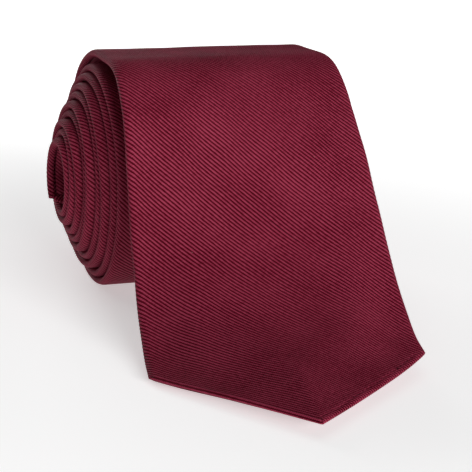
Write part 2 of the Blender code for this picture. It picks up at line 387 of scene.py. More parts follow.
def edge_waves(along, side, kind):
    """Wandering that differs between the left and the right edge."""
    seed, size = kind
    return waves(along, 0, seed + int(side), size)


def edge_wander(kind, side, share, along):
    """Small unevenness of the folded edges: how far they stand out, and how far they lift."""
    near = 1.0 if kind == "fold" else smooth((abs(share) - WANDER_NEAR_EDGE) / (1 - WANDER_NEAR_EDGE))
    rolled = smooth((along - ROLL_WANDER_FROM) / ROLL_WANDER_EASE)
    wander = FREE_WANDER * (1 - rolled) * edge_waves(along, side, FREE_EDGE_WAVES)
    turn = np.interp(along, ROLL_DISTANCES, ROLL_STEPS)
    steady = np.sin(2 * math.pi * UNEVEN_TURNS * turn + UNEVEN_PHASE)
    uneven = STEADY_SHARE * steady + CHANCE_SHARE * edge_waves(along, side, ROLL_EDGE_WAVES)
    wander = wander + ROLL_WANDER * rolled * uneven
    loose = rolled * (1 - PRESSED_LIFT_LOSS * pressing(along))
    return side * near * wander, near * ROLL_LIFT * edge_waves(along, side, LIFT_WAVES) * loose


def face_waves(along, across):
    """The free blade's gentle swells."""
    free = smooth((FREE_LENGTH + SWELL_END - along) / SWELL_END_EASE)
    inside = smooth((along - np.abs(across)) / SWELL_EDGE_EASE)
    return SWELL * waves(along, across, *SWELL_WAVES) * free * inside


def from_hem(along, across):
    """Distance from the slanting edge of the nearer point."""
    return (np.minimum(along, LENGTH - along) - np.abs(across)) / math.sqrt(2)


def thickness(along, across):
    """Face to back, thinner along the hems of the points."""
    share = smooth(from_hem(along, across) / HEM_THIN_REACH)
    return HEM_THICKNESS + (depth(along) - HEM_THICKNESS) * share


def crown(along, across):
    """How far the blade's face stands up inside its hems and folds."""
    near_point = 1 - smooth((along - CORNER) / (CROWN_END - CORNER))
    from_fold = half_whole(along) - FOLD_REACH - np.abs(across)
    inside = smooth(from_hem(along, across) / CROWN_REACH) * smooth(from_fold / CROWN_SIDE_REACH)
    return CROWN * near_point * inside


def line_points(kind, side, share, along, rib, inward):
    """Where one line of the cloth runs. rib is the ribs' height there, inward the cloth's depth."""
    across, out, cloth, look = column(kind, side, share, along)
    sideways, lift = edge_wander(kind, side if side else math.copysign(1, share), share, along)
    across = across + sideways
    out = out * thickness(along, across) / depth(along) + lift + face_waves(along, across)
    out = out + (crown(along, across) if kind == "face" else 0)
    rib = rib * (1 - FOLD_RIB_LOSS * np.square(look[0]))
    return across + look[0] * (rib - inward), out + look[1] * (rib - inward), cloth


def cloth_limits(kind, side, share, inward, low, high):
    """Where a line of the cloth starts and ends, at the cut or at the strip's point."""
    margin = (HEM_TURN if kind != "flap" else inward) * math.sqrt(2)
    if kind == "fold":
        margin *= 1 - math.sin(math.pi * share)
    if kind == "flap":
        ends = (CORNER, half_whole(LENGTH))
    else:
        in_points = np.array([CORNER * 0.5, LENGTH - CORNER * 0.3])
        ends = np.abs(column(kind, side, share, in_points)[0]) + margin
    return max(low, ends[0]), min(high, LENGTH - ends[1])


# Where the rows of points lie across one rib, by how many rows it has
PROFILE = {
    1: [0.0],
    8: [0.0, 0.09, 0.21, 0.36, 0.5, 0.64, 0.79, 0.91],
    6: [0.0, 0.11, 0.29, 0.5, 0.71, 0.89],
    4: [0.0, 0.2, 0.5, 0.8],
}


def rib_rows(start, end, samples):
    """Rows of the cloth along the ribs: where each crosses the middle, and its height."""
    first, last = math.floor(start / RIB_STEP), math.ceil(end / RIB_STEP)
    ribs = np.arange(first, last)
    rows = (ribs[:, None] + np.array(PROFILE[samples])).ravel()
    rows = rows[(rows * RIB_STEP >= start - TINY) & (rows * RIB_STEP <= end + TINY)]
    rows = np.append(rows, end / RIB_STEP) if rows[-1] * RIB_STEP < end - TINY else rows
    height = np.abs(np.sin(math.pi * rows)) ** RIB_SHAPE
    return rows * RIB_STEP, RIB_HEIGHT * height


def zipper(a, b):
    """Triangles between two lines of points that start and end together."""
    i = j = 0
    faces = []
    while i < len(a) - 1 or j < len(b) - 1:
        step_a = i < len(a) - 1 and (j == len(b) - 1 or (i + 1) / (len(a) - 1) <= (j + 1) / (len(b) - 1))
        if step_a:
            faces.append((a[i], a[i + 1], b[j]))
            i += 1
        else:
            faces.append((a[i], b[j + 1], b[j]))
            j += 1
    return faces


class Shell:
    """Points, cloth coordinates and faces of one piece while it is put together."""

    def __init__(self):
        self.points, self.cloth, self.faces, self.count = [], [], [], 0

    def add(self, points, cloth):
        start = self.count
        self.points.append(points.reshape(-1, 3))
        self.cloth.append(cloth.reshape(-1, 2))
        self.count += len(self.points[-1])
        return start + np.arange(self.count - start).reshape(points.shape[:-1])

    def quads(self, a, b, c, d):
        """Faces from four arrays of corners, leaving out the ones that have closed up."""
        corners = np.stack([x.ravel() for x in (a, b, c, d)], -1)
        first = corners[:, 0] == corners[:, 3]
        second = corners[:, 1] == corners[:, 2]
        self.faces += corners[~first & ~second].tolist()
        self.faces += corners[first & ~second][:, [0, 1, 2]].tolist()
        self.faces += corners[~first & second][:, [0, 1, 3]].tolist()

    def mesh(self, name):
        made = bpy.data.meshes.new(name)
        points = np.vstack(self.points)
        cloth = np.vstack(self.cloth)
        used = [f for f in self.faces if len(set(f)) == len(f)]
        sizes = np.array([len(f) for f in used])
        loops = np.concatenate([np.array(f) for f in used]).astype(np.int32)
        keep, loops = np.unique(loops, return_inverse=True)
        points, cloth = points[keep], cloth[keep]
        made.vertices.add(len(points))
        made.vertices.foreach_set("co", points.astype(np.float32).ravel())
        made.loops.add(len(loops))
        made.loops.foreach_set("vertex_index", loops.astype(np.int32).ravel())
        made.polygons.add(len(sizes))
        starts = np.concatenate([[0], np.cumsum(sizes)[:-1]]).astype(np.int32)
        made.polygons.foreach_set("loop_start", starts)
        made.update(calc_edges=True)
        layer = made.uv_layers.new(name="cloth")
        layer.data.foreach_set("uv", cloth[loops.ravel()].astype(np.float32).ravel())
        made.validate()
        made.shade_smooth()
        return made


def rib_crossing(along, cloth):
    """Where the rib through a place on the cloth crosses the middle of the strip."""
    return along + cloth * RIB_SLANT + RIB_WOBBLE * waves(along, cloth, *RIB_WAVES)


def cloth_side(shell, columns, rows, heights, inward, limits):
    """One side of a cloth: a line of points for each column, with its ends at the limits."""
    table = np.arange(limits[0] - TABLE_MARGIN, limits[1] + TABLE_MARGIN, TABLE_STEP)
    points, cloth, index = [], [], []
    for kind, side, share in columns:
        start, end = cloth_limits(kind, side, share, inward, *limits)
        crossing = rib_crossing(table, column(kind, side, share, table)[2])
        along = np.interp(rows, crossing, table)
        clipped = np.clip(along, start, end)
        here = np.interp(clipped, table, crossing)
        if inward:
            rib = 0 * heights
        else:
            rib = heights * (1 + RIB_UNEVENNESS * waves(clipped, share * RIB_WAVE_SPREAD, *RIB_HEIGHT_WAVES))
        across, out, run = line_points(kind, side, share, clipped, rib, inward)
        points.append(put(clipped, across, out))
        cloth.append(np.stack([run, here - run * RIB_SLANT], -1))
        keep = np.arange(len(rows))
        early, late = np.nonzero(along <= start)[0], np.nonzero(along >= end)[0]
        if len(early):
            keep[early] = early[-1]
        if len(late):
            keep[late] = late[0]
        index.append(keep)
    index = np.stack(index, 1)
    numbers = shell.add(np.stack(points, 1), np.stack(cloth, 1))
    return np.take_along_axis(numbers, index, 0)


def close_cloth(shell, out, back):
    """Faces on both sides of a cloth and round its edges; its sides may have unlike columns."""
    shell.quads(out[:-1, :-1], out[:-1, 1:], out[1:, 1:], out[1:, :-1])
    shell.quads(back[:-1, 1:], back[:-1, :-1], back[1:, :-1], back[1:, 1:])
    shell.quads(out[:-1, -1], back[:-1, -1], back[1:, -1], out[1:, -1])
    shell.quads(back[:-1, 0], out[:-1, 0], out[1:, 0], back[1:, 0])
    shell.faces += [f[::-1] for f in zipper(out[0], back[0])]
    shell.faces += zipper(out[-1], back[-1])


def silk_panel(shell, outer, inner, start, end, samples):
    """A closed panel of silk between two ribs, with the ribs raised on its outer side."""
    rows, heights = rib_rows(start, end, samples)
    out = cloth_side(shell, outer, rows, heights, 0.0, (0.0, LENGTH))
    back = cloth_side(shell, inner, rows, heights, SILK, (0.0, LENGTH))
    close_cloth(shell, out, back)


def face_columns(folds, flats):
    """Columns from the back of the left fold, over the face, to the back of the right fold."""
    shares = np.linspace(1, 0, folds + 1)[:-1]
    left = [("fold", -1, s) for s in shares]
    face = [("face", 0, f) for f in np.linspace(-1, 1, flats + 1)]
    return left + face + [("fold", 1, s) for s in shares[::-1]]


def flap_columns(side, count):
    """Columns from a fold to the seam in the middle of the back."""
    return [("flap", side, s) for s in np.linspace(0, 1, count + 1)]


def silk_flaps(shell, start, end, count, samples):
    """The two back flaps of a stretch of the strip, cut straight across at its ends."""
    reach = FLAP_SEARCH * half_whole(start) * RIB_SLANT
    for side in (-1, 1):
        outer, inner = flap_columns(side, count), flap_columns(side, max(3, count // 3))
        if side > 0:
            low, high = start, end + reach
        else:
            low, high = start - reach, end
        rows, heights = rib_rows(low, high, samples)
        sides = [
            cloth_side(shell, outer, rows, FLAP_RIB_SHARE * heights, 0.0, (start, end)),
            cloth_side(shell, inner, rows, heights, SILK, (start, end)),
        ]
        out, back = sides if side > 0 else sides[::-1]
        close_cloth(shell, out, back)


def grid_solid(shell, top, bottom, cloth):
    """A closed thin solid between two equal grids of points."""
    a, b = shell.add(top, cloth), shell.add(bottom, cloth)
    shell.quads(a[:-1, :-1], a[:-1, 1:], a[1:, 1:], a[1:, :-1])
    shell.quads(b[:-1, :-1], b[1:, :-1], b[1:, 1:], b[:-1, 1:])
    shell.quads(a[:-1, -1], b[:-1, -1], b[1:, -1], a[1:, -1])
    shell.quads(a[:-1, 0], a[1:, 0], b[1:, 0], b[:-1, 0])
    shell.quads(a[0, :-1], b[0, :-1], b[0, 1:], a[0, 1:])
    shell.quads(a[-1, :-1], a[-1, 1:], b[-1, 1:], b[-1, :-1])


def rib_height(along, cloth):
    """The ribs' height anywhere on the cloth."""
    return RIB_HEIGHT * np.abs(np.sin(math.pi * rib_crossing(along, cloth) / RIB_STEP)) ** RIB_SHAPE


def hem_section(turns, flats):
    """A hem from its lap under the face, round the edge and inwards over the back.

    Gives the distance in from the edge, the height off the face, the way the silk looks
    (inwards and outwards), and the distance in from the edge on the cloth when unfolded.
    """
    lap = np.linspace(HEM_LAP, HEM_TURN, 3)[:-1]
    angle = np.linspace(0, math.pi, turns)
    back = np.linspace(HEM_TURN, HEM_WIDTH, flats)[1:]
    around = (HEM_THICKNESS / 2 + HEM_TURN) / 2
    inwards = np.concatenate([lap, HEM_TURN * (1 - np.sin(angle)), back])
    thick = HEM_THICKNESS + (TIPPED_DEPTH - HEM_THICKNESS) * smooth(inwards / HEM_THIN_REACH)
    height = np.concatenate([0 * lap, (np.cos(angle) - 1) / 2, 0 * back - 1]) * thick
    height[:len(lap)] -= HEM_LAP_DROP
    look_in = np.concatenate([0 * lap, -np.sin(angle), 0 * back])
    look_out = np.concatenate([0 * lap + 1, np.cos(angle), 0 * back - 1])
    unfolded = np.concatenate([lap, HEM_TURN - around * angle, 2 * HEM_TURN - math.pi * around - back])
    return [x[:, None] for x in (inwards, height, look_in, look_out, unfolded)]


def point_hem(shell, slides, at_tail=False):
    """The silk turned under along the two slanting edges of a point.

    slides is how many steps each side has along its edge, left then right. The ribs run
    along the left edge and across the right one.
    """
    corner = float(half_whole(LENGTH)) if at_tail else CORNER
    run = corner * math.sqrt(2)
    for side, steps, section in zip((-1, 1), slides, (hem_section(24, 44), hem_section(12, 9))):
        inwards, height, look_in, look_out, unfolded = section
        near = inwards + HEM_START
        slide = near + (run - SHOULDER_CUT - 2 * near) * np.linspace(0, 1, steps)
        cloth = side * (slide - unfolded) / math.sqrt(2)
        from_end = (slide + unfolded) / math.sqrt(2)
        on_cloth = LENGTH - from_end if at_tail else from_end
        levels = []
        for rise in (rib_height(on_cloth, cloth), -SILK + 0 * slide):
            into = inwards + look_in * rise
            along = (slide + into) / math.sqrt(2)
            across = side * (slide - into) / math.sqrt(2)
            past_fold = np.clip((np.abs(across) - corner + FOLD_REACH) / FOLD_REACH, 0, 1)
            place = LENGTH - along if at_tail else along
            half = thickness(place, across) / 2
            out = (height + look_out * rise + half) * np.sqrt(1 - past_fold ** 2) - half
            swell = face_waves(place, across) + crown(place, across) * np.maximum(look_out, 0)
            levels.append(put(place, across, out + swell))
        if (side > 0) != at_tail:
            levels.reverse()
        grid_solid(shell, *levels, np.stack([cloth, on_cloth], -1))


def band(shell, start, end, half, top, bottom, step=0.0016, columns=14, waved=True, crowned=0.5):
    """A flat strip inside the envelope; half gives its half width at distances along it.

    crowned is how much of the face's crown it follows.
    """
    count = max(2, int(math.ceil((end - start) / step)) + 1)
    along = np.linspace(start, end, count)
    width = half(along)
    share = np.linspace(-1, 1, columns + 1)
    across = width[:, None] * share
    place = along[:, None] + 0 * share
    swell = face_waves(place, across) + crowned * crown(place, across) if waved else 0 * place
    cloth = np.stack([across, place], -1)
    upper, lower = put(place, across, swell - top), put(place, across, swell - bottom)
    grid_solid(shell, upper, lower, cloth)


# Materials ----------------------------------------------------------------------------------

def set_range(node, low, high, to_low, to_high):
    """Sets what a Map Range node maps from and to."""
    for name, number in (("From Min", low), ("From Max", high), ("To Min", to_low), ("To Max", to_high)):
        node.inputs[name].default_value = number


class Nodes:
    """Shorthand for building a node tree."""

    def __init__(self, name):
        self.material = bpy.data.materials.new(name)
        self.material.use_nodes = True
        self.tree = self.material.node_tree
        self.shader = self.tree.nodes["Principled BSDF"]

    def node(self, kind, **settings):
        made = self.tree.nodes.new(kind)
        for key, value in settings.items():
            setattr(made, key, value)
        return made

    def link(self, source, target):
        if isinstance(source, (int, float)):
            target.default_value = source
        else:
            self.tree.links.new(source, target)

    def math(self, operation, a, b=0.0, c=0.0):
        made = self.node("ShaderNodeMath", operation=operation)
        for value, socket in zip((a, b, c), made.inputs):
            self.link(value, socket)
        return made.outputs[0]

    def cloth(self):
        """The cloth's own coordinates: across it and along it, in metres."""
        uv = self.node("ShaderNodeUVMap", uv_map="cloth")
        split = self.node("ShaderNodeSeparateXYZ")
        self.link(uv.outputs[0], split.inputs[0])
        return split.outputs[0], split.outputs[1]

    def vector(self, x, y):
        made = self.node("ShaderNodeCombineXYZ")
        for value, socket in zip((x, y), made.inputs):
            self.link(value, socket)
        return made.outputs[0]

    def noise(self, vector, scale, detail=2.0, rough=0.5):
        made = self.node("ShaderNodeTexNoise")
        self.link(vector, made.inputs["Vector"])
        made.inputs["Scale"].default_value = scale
        made.inputs["Detail"].default_value = detail
        made.inputs["Roughness"].default_value = rough
        return made.outputs["Fac"]

    def ramp(self, factor, stops):
        made = self.node("ShaderNodeValToRGB")
        elements = made.color_ramp.elements
        while len(elements) < len(stops):
            elements.new(0.5)
        for element, (position, colour) in zip(elements, stops):
            element.position = position
            element.color = (*colour, 1)
        self.link(factor, made.inputs[0])
        return made.outputs[0]

    def scale_range(self, value, low, high, to_low, to_high):
        made = self.node("ShaderNodeMapRange")
        set_range(made, low, high, to_low, to_high)
        self.link(value, made.inputs[0])
        return made.outputs[0]

    def bump(self, height, distance):
        made = self.node("ShaderNodeBump")
        made.inputs["Strength"].default_value = 1.0
        made.inputs["Distance"].default_value = distance
        self.link(height, made.inputs["Height"])
        self.link(made.outputs[0], self.shader.inputs["Normal"])

    def finish(self, colour, roughness, sheen=0.0, tint=(1, 1, 1), sheen_roughness=0.5, specular=0.4):
        self.link(colour, self.shader.inputs["Base Color"])
        self.link(roughness, self.shader.inputs["Roughness"])
        self.shader.inputs["Sheen Weight"].default_value = sheen
        self.shader.inputs["Sheen Roughness"].default_value = sheen_roughness
        self.shader.inputs["Sheen Tint"].default_value = (*tint, 1)
        self.shader.inputs["Specular IOR Level"].default_value = specular
        return self.material


# The silk's fine threads, which lie across the ribs, its slubs and clouds, and specks of lint
THREAD_PITCH = 0.00058
THREAD_LEAN = 2.4
SLUBS_PER_METRE = 900.0
CLOUDS_PER_METRE = 60.0
LINT_PER_METRE = 260.0
LINT_SIZE = 0.035
LINT_CHANCE = 0.10


def ribbed_silk():
    """Burgundy reps: raised ribs of many fine threads, with painted shade in the grooves between them and a
    painted sheen highlight on the rib tops.
    """
    n = Nodes("burgundy_ribbed_silk")
    cloth, along = n.cloth()
    crossing = n.math("MULTIPLY_ADD", cloth, RIB_SLANT, along)
    phase = n.math("MULTIPLY", crossing, 1 / RIB_STEP)
    height = n.math("ABSOLUTE", n.math("SINE", n.math("MULTIPLY", phase, math.pi)))
    height = n.math("POWER", height, RIB_SHAPE)
    down = n.math("MULTIPLY_ADD", along, RIB_SLANT, n.math("MULTIPLY", cloth, -1.0))
    length = n.math("MULTIPLY", down, 1 / math.sqrt(1 + RIB_SLANT ** 2))
    lean = n.math("MULTIPLY", phase, THREAD_LEAN)
    thread = n.math("SINE", n.math("MULTIPLY_ADD", length, 2 * math.pi / THREAD_PITCH, lean))
    slubs = n.noise(n.vector(phase, n.math("MULTIPLY", length, SLUBS_PER_METRE)), 1.0, 3.0)
    clouds = n.noise(n.vector(cloth, along), CLOUDS_PER_METRE, 2.0)
    tone = n.math("MULTIPLY_ADD", thread, 0.10, height)
    tone = n.math("ADD", tone, n.math("MULTIPLY_ADD", slubs, 0.45, -0.22))
    tone = n.math("ADD", tone, n.math("MULTIPLY_ADD", clouds, 0.3, -0.15))
    # The ribs' height picks the colour: painted shade in the grooves and a painted sheen highlight on the
    # rib tops; threads, slubs and clouds vary the silk's own tone
    colour = n.ramp(tone, [
        (0.15, (0.042, 0.0001, 0.0022)), (0.55, (0.078, 0.0008, 0.0070)),
        (0.82, (0.185, 0.0125, 0.0340)), (1.0, (0.310, 0.0380, 0.0740)),
    ])
    lint = n.node("ShaderNodeTexVoronoi")
    n.link(n.vector(cloth, along), lint.inputs["Vector"])
    lint.inputs["Scale"].default_value = LINT_PER_METRE
    chance = n.node("ShaderNodeSeparateXYZ")
    n.link(lint.outputs["Color"], chance.inputs[0])
    small = n.math("LESS_THAN", lint.outputs["Distance"], LINT_SIZE)
    speck = n.math("MULTIPLY", small, n.math("GREATER_THAN", chance.outputs[0], 1 - LINT_CHANCE))
    mix = n.node("ShaderNodeMix", data_type="RGBA")
    n.link(n.math("MULTIPLY", speck, 0.6), mix.inputs["Factor"])
    n.link(colour, mix.inputs["A"])
    mix.inputs["B"].default_value = (0.50, 0.26, 0.24, 1)
    rough = n.scale_range(slubs, 0.3, 0.7, 0.46, 0.60)
    relief = n.math("ADD", n.math("MULTIPLY", thread, 0.35), n.math("MULTIPLY", slubs, 1.2))
    n.bump(relief, 0.00003)
    return n.finish(
        mix.outputs["Result"], rough, sheen=0.02, tint=(1.0, 0.90, 0.85), sheen_roughness=0.35, specular=0.04
    )


def plain_cloth(name, dark, light, pitch, relief, roughness, sheen=0.2):
    """A plain weave of crossing threads."""
    n = Nodes(name)
    cloth, along = n.cloth()
    warp = n.math("SINE", n.math("MULTIPLY", cloth, 2 * math.pi / pitch))
    weft = n.math("SINE", n.math("MULTIPLY", along, 2 * math.pi / pitch))
    weave = n.math("MULTIPLY_ADD", n.math("MULTIPLY", warp, weft), 0.5, 0.5)
    fibres = n.noise(n.vector(cloth, along), 1800.0, 4.0, 0.6)
    tone = n.math("ADD", n.math("MULTIPLY", weave, 0.5), n.math("MULTIPLY", fibres, 0.5))
    colour = n.ramp(tone, [(0.2, dark), (0.8, light)])
    n.bump(tone, relief)
    rough = n.scale_range(fibres, 0.3, 0.7, roughness - 0.06, roughness + 0.06)
    return n.finish(colour, rough, sheen=sheen, tint=light)


TWIST_ROUND, TWIST_ALONG = 3500.0, 9000.0


def twisted_thread(name, dark, light):
    """Sewing thread with the slant of its twist."""
    n = Nodes(name)
    cloth, along = n.cloth()
    slant = n.math("ADD", n.math("MULTIPLY", cloth, TWIST_ROUND), n.math("MULTIPLY", along, TWIST_ALONG))
    twist = n.math("MULTIPLY_ADD", n.math("SINE", slant), 0.5, 0.5)
    colour = n.ramp(twist, [(0.1, dark), (0.9, light)])
    n.bump(twist, 0.00005)
    return n.finish(colour, n.scale_range(twist, 0.0, 1.0, 0.6, 0.45), sheen=0.2, tint=light)


SILK_CLOTH = ribbed_silk()
TIPPING_SILK = plain_cloth(
    "tipping_silk", (0.09, 0.006, 0.018), (0.20, 0.017, 0.042), 0.0003, 0.00003, 0.38, 0.3
)
WOOL = plain_cloth("wool_interlining", (0.46, 0.42, 0.34), (0.74, 0.70, 0.60), 0.0009, 0.00015, 0.95, 0.1)
LABEL_SATIN = plain_cloth("label_satin", (0.018, 0.012, 0.016), (0.06, 0.042, 0.052), 0.0004, 0.00003, 0.35)
THREAD = twisted_thread("silk_thread", (0.07, 0.004, 0.014), (0.24, 0.022, 0.055))


# Pieces -------------------------------------------------------------------------------------

def show(shell, name, material):
    """Makes the piece's object from its shell."""
    thing = bpy.data.objects.new(name, shell.mesh(name))
    bpy.context.scene.collection.objects.link(thing)
    thing.data.materials.append(material)
    return thing


def bend_tip(thing):
    """Bakes the placement of a piece by the tip into its points; it is not bent where the tip flexes."""
    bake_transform(thing)


def bend_lift(thing):
    """Bakes the placement of a piece on the free blade into its points; it is not bent where the blade lifts
    off the roll.
    """
    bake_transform(thing)


def declare(thing):
    """Works out how large the piece's cloth is when flat, from its own cloth coordinates, and keeps nothing
    of it.
    """
    mesh = thing.data
    loops = np.zeros(len(mesh.loops) * 2, np.float32)
    mesh.uv_layers["cloth"].data.foreach_get("uv", loops)
    loops = loops.reshape(-1, 2).astype(float)
    width, length = loops.max(0) - loops.min(0)
    mesh.calc_loop_triangles()
    corners = np.zeros(len(mesh.loop_triangles) * 3, np.int32)
    mesh.loop_triangles.foreach_get("loops", corners)
    a, b, c = loops[corners.reshape(-1, 3)].transpose(1, 0, 2)
    doubled = np.abs((b - a)[:, 0] * (c - a)[:, 1] - (b - a)[:, 1] * (c - a)[:, 0])
    area = doubled.sum() / 4  # half of each, as the cloth has two sides
    area = min(float(area), float(width * length))


def seam_rib(place):
    """The rib that a seam follows from the left fold, by where it crosses the middle."""
    return place - float(half_whole(place)) * RIB_SLANT


FREE_COLUMNS = face_columns(9, 56), face_columns(5, 14)
OUTERMOST_COLUMNS = face_columns(8, 34), face_columns(3, 10)
TURN_COLUMNS = face_columns(7, 10), face_columns(2, 8)


def blade_front():
    """The blade's point with its hem, and the lower half of the slope."""
    shell = Shell()
    silk_panel(shell, *FREE_COLUMNS, -PAST_POINT, FRONT_CUT, 8)
    silk_flaps(shell, CORNER, FRONT_CUT, 24, 6)
    point_hem(shell, (70, 330))
    thing = show(shell, "silk_blade_front", SILK_CLOTH)
    bend_tip(thing)
    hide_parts("blade_silk_tip")
    declare(thing)


def blade_slope():
    """The upper half of the slope, over the top of the roll."""
    shell = Shell()
    silk_panel(shell, *FREE_COLUMNS, FRONT_CUT, ROLL_CUT, 8)
    silk_flaps(shell, FRONT_CUT, LINING_CUT, 24, 6)
    thing = show(shell, "silk_blade_slope", SILK_CLOTH)
    bend_lift(thing)
    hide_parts("blade_silk_free")
    declare(thing)


def blade_turns():
    """The turns of the roll that belong to the blade's silk: the outermost one, and those under it."""
    shell = Shell()
    silk_panel(shell, *OUTERMOST_COLUMNS, ROLL_CUT, COVERED_CUT, 6)
    outermost = show(shell, "silk_outer_turn", SILK_CLOTH)
    shell = Shell()
    silk_panel(shell, *TURN_COLUMNS, COVERED_CUT, seam_rib(BLADE_NECK_SEAM) - SEAM_HALF_CUT, 4)
    silk_flaps(shell, LINING_CUT, BLADE_NECK_SEAM, 5, 1)
    covered = show(shell, "silk_blade_turns", SILK_CLOTH)
    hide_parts("blade_silk_rolled")
    for thing in (outermost, covered):
        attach(thing, "roll")
        declare(thing)


def inner_turns(name, node, start_seam, end_seam):
    """The neck's or the tail's piece of silk."""
    shell = Shell()
    at_tail = end_seam >= LENGTH
    end = LENGTH + PAST_TAIL if at_tail else seam_rib(end_seam) - SEAM_HALF_CUT
    silk_panel(shell, *TURN_COLUMNS, seam_rib(start_seam) + SEAM_HALF_CUT, end, 4)
    last = min(end_seam, LENGTH - float(half_whole(LENGTH)))
    silk_flaps(shell, start_seam, last, 5, 1)
    if at_tail:
        point_hem(shell, (40, 60), at_tail=True)
    thing = show(shell, name, SILK_CLOTH)
    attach(thing, "roll")
    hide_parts(node)
    declare(thing)


LINING_START = HEM_LINING_INSET + 3 * INSET


def lining_half(along):
    """Half the width of the linings, clear of the folds and the hems."""
    from_end = np.minimum(along, LENGTH - along)
    in_roll = ROLL_LINING_INSET * smooth((along - ROLL_LINING_FROM) / ROLL_WANDER_EASE)
    return np.minimum(half_whole(along) - INSET - in_roll, from_end - HEM_LINING_INSET)


def add_band(name, nodes, material, stretches, top, bottom, crowned):
    """A lining piece in parts; each part is passed to its own function, which bakes it in place or fixes it
    to the roll.
    """
    for suffix, start, end, move in stretches:
        shell = Shell()
        band(shell, start, end, lining_half, top, bottom, crowned=crowned)
        thing = show(shell, name + suffix, material)
        move(thing)
        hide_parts(nodes[suffix])
        declare(thing)


def ride_roll(thing):
    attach(thing, "roll")


def ride_blade(thing):
    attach(thing, "blade")


def interlining():
    add_band(
        "wool", {"_front": "interlining_tip", "_slope": "interlining_free", "_roll": "interlining_rolled"},
        WOOL,
        [
            ("_front", LINING_START, FRONT_CUT, bend_tip),
            ("_slope", FRONT_CUT, LINING_CUT, bend_lift),
            ("_roll", LINING_CUT, LENGTH - LINING_START, ride_roll),
        ],
        INTERLINING_TOP, INTERLINING_BOTTOM, 1.0,
    )


def tippings():
    add_band(
        "tipping", {"_front": "blade_tipping_tip", "_slope": "blade_tipping_free", "_tail": "tail_tipping"},
        TIPPING_SILK,
        [
            ("_front", LINING_START, FRONT_CUT, bend_tip),
            ("_slope", FRONT_CUT, TIPPING_END, bend_lift),
            ("_tail", LENGTH - TAIL_TIPPING_END, LENGTH - LINING_START, ride_roll),
        ],
        TIPPING_TOP, TIPPING_BOTTOM, 0.5,
    )


def keeper():
    """The loop across the back of the blade, made of the tie's own silk."""
    shell = Shell()
    band(
        shell, KEEPER_FROM, KEEPER_TO, lambda s: KEEPER_HALF_LENGTH + 0 * s,
        KEEPER_TOP, KEEPER_BOTTOM, 0.001, 30, waved=False,
    )
    thing = show(shell, "silk_keeper_loop", SILK_CLOTH)
    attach(thing, "roll")
    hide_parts("keeper_loop")
    declare(thing)


def label():
    """A plain satin label on the tipping, with nothing on it."""
    shell = Shell()
    top = TIPPING_BOTTOM + LABEL_GAP
    bottom = top + LABEL_THICKNESS
    band(shell, LABEL_FROM, LABEL_TO, lambda s: LABEL_HALF + 0 * s, top, bottom, 0.0008, 24)
    thing = show(shell, "label_blank", LABEL_SATIN)
    bend_tip(thing)
    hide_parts("blank_label")
    declare(thing)


def strand(shell, along, across, out, radius, sides=6):
    """A thread that follows points given along, across and off the face."""
    centre = put(along, across, out)
    tangent = np.gradient(centre, axis=0)
    tangent /= np.linalg.norm(tangent, axis=1)[:, None]
    outward = read_path(PATH[3], along)
    side = np.cross(tangent, outward)
    side /= np.linalg.norm(side, axis=1)[:, None]
    up = np.cross(side, tangent)
    angle = np.linspace(0, 2 * math.pi, sides, endpoint=False)
    spokes = np.cos(angle)[:, None] * up[:, None] + np.sin(angle)[:, None] * side[:, None]
    ring = centre[:, None] + radius * spokes
    run = np.concatenate([[0], np.cumsum(np.linalg.norm(np.diff(centre, axis=0), axis=1))])
    cloth = np.stack([np.tile(radius * angle, (len(run), 1)), np.tile(run[:, None], (1, sides))], -1)
    index = shell.add(ring, cloth)
    following = np.roll(index, -1, axis=1)
    shell.quads(index[:-1], following[:-1], following[1:], index[1:])
    shell.faces.append(index[0][::-1].tolist())
    shell.faces.append(index[-1].tolist())


def slip_stitches(shell, start, end):
    """Loose stitches that zigzag across the seam in the middle of the back."""
    for i in range(int((end - start) / STITCH_PITCH)):
        share = np.linspace(0, 1, 12)
        first = start + i * STITCH_PITCH
        along = np.linspace(first, start + (i + 1 + STITCH_OVERLAP) * STITCH_PITCH, len(share))
        side = 1 if i % 2 else -1
        across = side * STITCH_HALF_WIDTH * np.cos(math.pi * share)
        dip = STITCH_SUNK * (1 - np.sin(math.pi * share))
        out = -depth(along) - STITCH_PROUD + dip + face_waves(along, across)
        strand(shell, along, across, out, STITCH_RADIUS)


def stitching():
    for suffix, node, start, end, move in (
        ("_slope", "slip_stitch_free", SEAM_START + STITCH_END_GAP, LINING_CUT, bend_lift),
        ("_roll", "slip_stitch_rolled", LINING_CUT, LENGTH - TAIL_SEAM_START - STITCH_END_GAP, ride_roll),
    ):
        shell = Shell()
        slip_stitches(shell, start, end)
        thing = show(shell, "slip_stitches" + suffix, THREAD)
        move(thing)
        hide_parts(node)


def bar_tack(name, node, place, move):
    """A close row of satin stitches over a core, across the end of the seam."""
    shell = Shell()
    for i in range(TACK_STITCHES):
        share = np.linspace(-1, 1, 9)
        middle_across = -TACK_HALF_WIDTH + 2 * TACK_HALF_WIDTH * (i + 0.5) / TACK_STITCHES
        across = np.full(len(share), middle_across)
        along = place + TACK_PLACE + TACK_HALF_LENGTH * share
        arch = TACK_HEIGHT * np.sqrt(np.clip(1.02 - share ** 2, 0, 1))
        out = -depth(along) - arch + TACK_SUNK + face_waves(along, across)
        strand(shell, along, across + TACK_LEAN * share, out, TACK_RADIUS)
    thing = show(shell, name, THREAD)
    move(thing)
    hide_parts(node)


